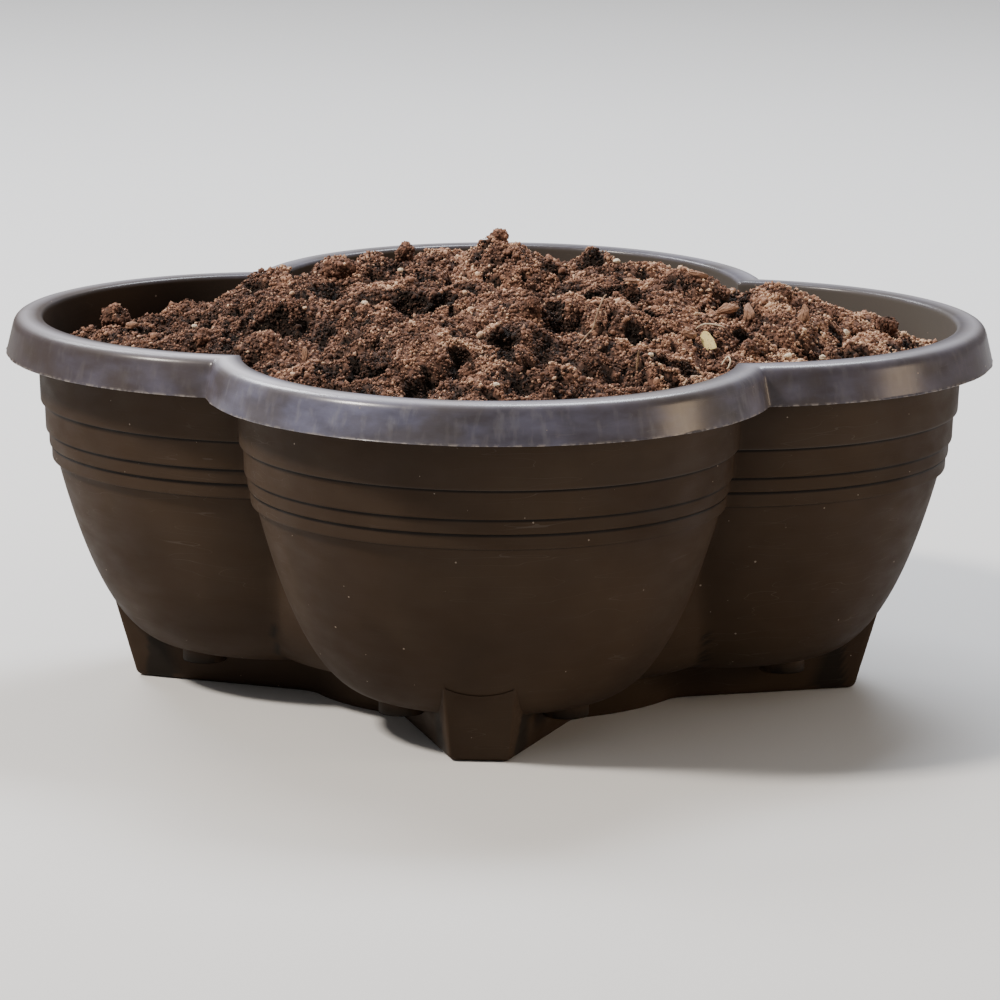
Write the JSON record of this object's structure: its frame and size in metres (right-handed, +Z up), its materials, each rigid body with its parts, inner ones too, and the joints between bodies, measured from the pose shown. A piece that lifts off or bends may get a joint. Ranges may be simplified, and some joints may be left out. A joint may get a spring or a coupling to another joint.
{
  "type": "stacking planter",
  "caption": "Moulded plastic stacking planter tier with round lobes, turned-down rim, stepped wall and splayed feet, filled with compost.",
  "frame": {"origin": "on the ground plane under the planter's vertical axis, at the middle of the base", "axes": "+Z up, and the front lobe points along -Y; the lobes point along the X and Y axes"},
  "size_m": [0.38, 0.38, 0.1679],
  "materials": {
    "planter_plastic": "dark brown-black moulded polypropylene, satin, scuffed and dusty at the rim",
    "compost": "moist crumbly brown potting compost",
    "clod": "pressed lumps of the same compost, drier and a little paler",
    "bark": "weathered red-brown bark and husk, rough",
    "perlite": "chalky off-white foamed grains, dusty",
    "fibre": "dry plant fibre, pale brown",
    "leaf": "dry pale yellow-green leaf fragment"
  },
  "bodies": {
    "planter": {"planter_body": "planter_plastic"},
    "compost": {"compost_fill": "compost", "clod_left_end": "clod", "clod_left_front": "clod", "clod_left_ridge": "clod", "clod_back_left": "clod", "clod_back_middle": "clod", "clod_summit": "clod", "clod_middle": "clod", "clod_right_peak": "clod", "clod_right_front": "clod", "clod_right_end": "clod", "clod_front": "clod", "clod_back_right": "clod", "bark_chip_long": "bark", "bark_chip_round": "bark", "bark_chip_upright": "bark", "bark_chip_pale": "bark", "bark_chip_back": "bark", "bark_chip_left": "bark", "bark_chip_orange": "bark", "seed_husk": "bark", "perlite_left": "perlite", "perlite_left_lobe": "perlite", "perlite_middle_back": "perlite", "perlite_back": "perlite", "perlite_front": "perlite", "perlite_front_right": "perlite", "perlite_right_near": "perlite", "perlite_right_middle": "perlite", "perlite_right_far": "perlite", "fibre_by_leaf": "fibre", "fibre_arched": "fibre", "fibre_curl": "fibre", "stalk": "fibre", "leaf_fragment": "leaf"}
  },
  "joints": [
    {"name": "compost_lift", "type": "slide", "parent": "planter", "child": "compost", "axis": [0, 0, 1], "range_m": [0, 0.13]}
  ]
}
